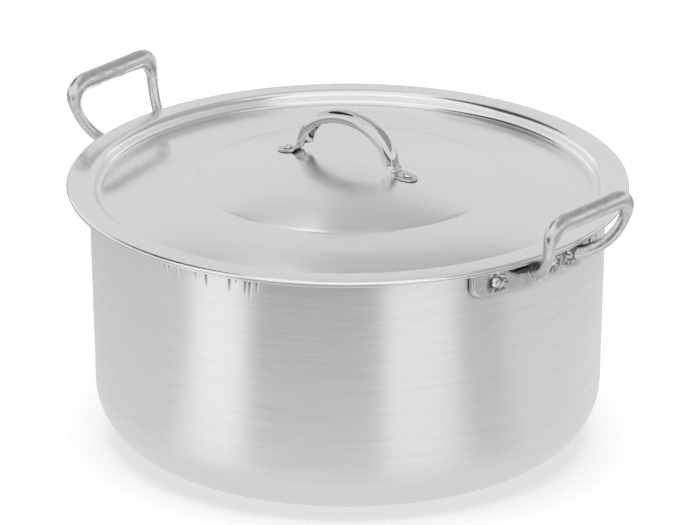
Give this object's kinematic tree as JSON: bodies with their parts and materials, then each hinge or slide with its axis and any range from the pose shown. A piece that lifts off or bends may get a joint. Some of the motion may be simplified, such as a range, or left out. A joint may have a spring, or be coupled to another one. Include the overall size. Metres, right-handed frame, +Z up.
{
  "type": "lidded cooking pot",
  "caption": "Round spun-aluminium stock pot with a turned-out rim, riveted cast loop handles that rise above the rim, and a stepped lift-off lid with a steel strap handle.",
  "frame": {"origin": "centre of the base's underside, on the surface that the pot stands on", "axes": "+Z up along the pot's axis; +X through the right loop handle, so the loop handles lie on +X and -X"},
  "size_m": [0.4444, 0.3914, 0.2396],
  "materials": {
    "spun_aluminium": "spun and finely brushed in rings, semi-gloss",
    "cast_aluminium": "cast and tumbled, worn smooth on the grip, pitted near the wall",
    "polished_steel": "polished",
    "rivet_aluminium": "smooth, peened"
  },
  "bodies": {
    "pot": {"pot_body": "spun_aluminium", "side_handle_right": "cast_aluminium", "side_handle_right_rivet_front": "rivet_aluminium", "side_handle_right_rivet_middle": "rivet_aluminium", "side_handle_right_rivet_rear": "rivet_aluminium", "side_handle_left": "cast_aluminium", "side_handle_left_rivet_front": "rivet_aluminium", "side_handle_left_rivet_middle": "rivet_aluminium", "side_handle_left_rivet_rear": "rivet_aluminium"},
    "lid": {"lid": "spun_aluminium", "lid_handle": "polished_steel", "lid_handle_rivet_right": "rivet_aluminium", "lid_handle_rivet_left": "rivet_aluminium"}
  },
  "joints": [
    {"name": "lid_lift", "type": "slide", "parent": "pot", "child": "lid", "axis": [0, 0, 1], "range_m": [0, 0.2]}
  ]
}
